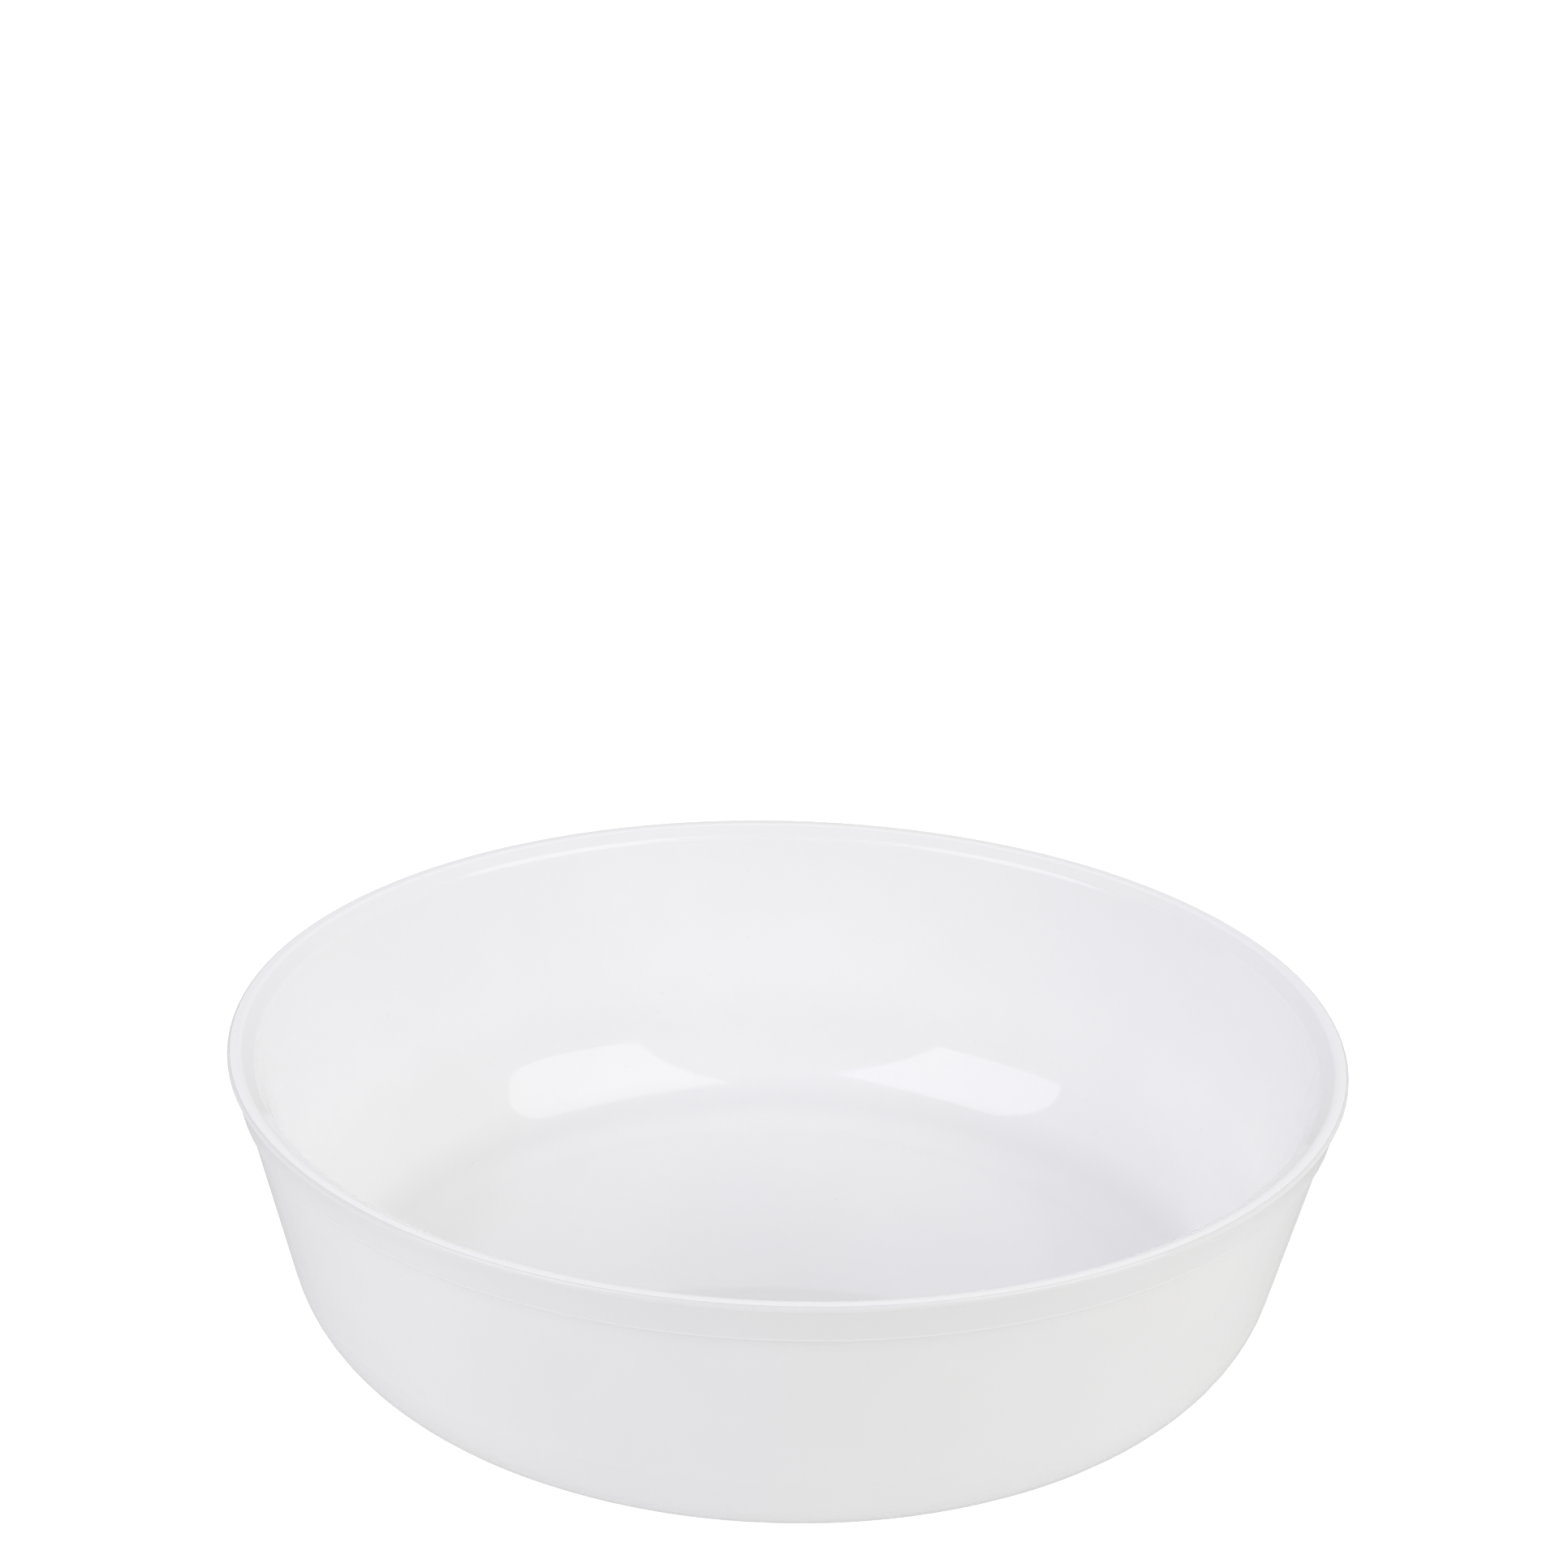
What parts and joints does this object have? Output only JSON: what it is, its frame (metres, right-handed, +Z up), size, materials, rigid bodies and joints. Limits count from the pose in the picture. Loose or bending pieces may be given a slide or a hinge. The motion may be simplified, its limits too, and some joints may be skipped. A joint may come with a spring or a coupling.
{
  "type": "evaporating dish",
  "caption": "Shallow round white dish with a flat foot, a wide rounded bottom corner, a leaning wall and a short flared lip.",
  "frame": {"origin": "centre of the flat foot", "axes": "+Z up along the dish's axis, out of its mouth; the dish is round, so X and Y are free"},
  "size_m": [0.15, 0.15, 0.042],
  "materials": {
    "white_glaze": "smooth glossy white glaze, slightly milky"
  },
  "bodies": {
    "root": {"dish": "white_glaze"}
  },
  "joints": []
}
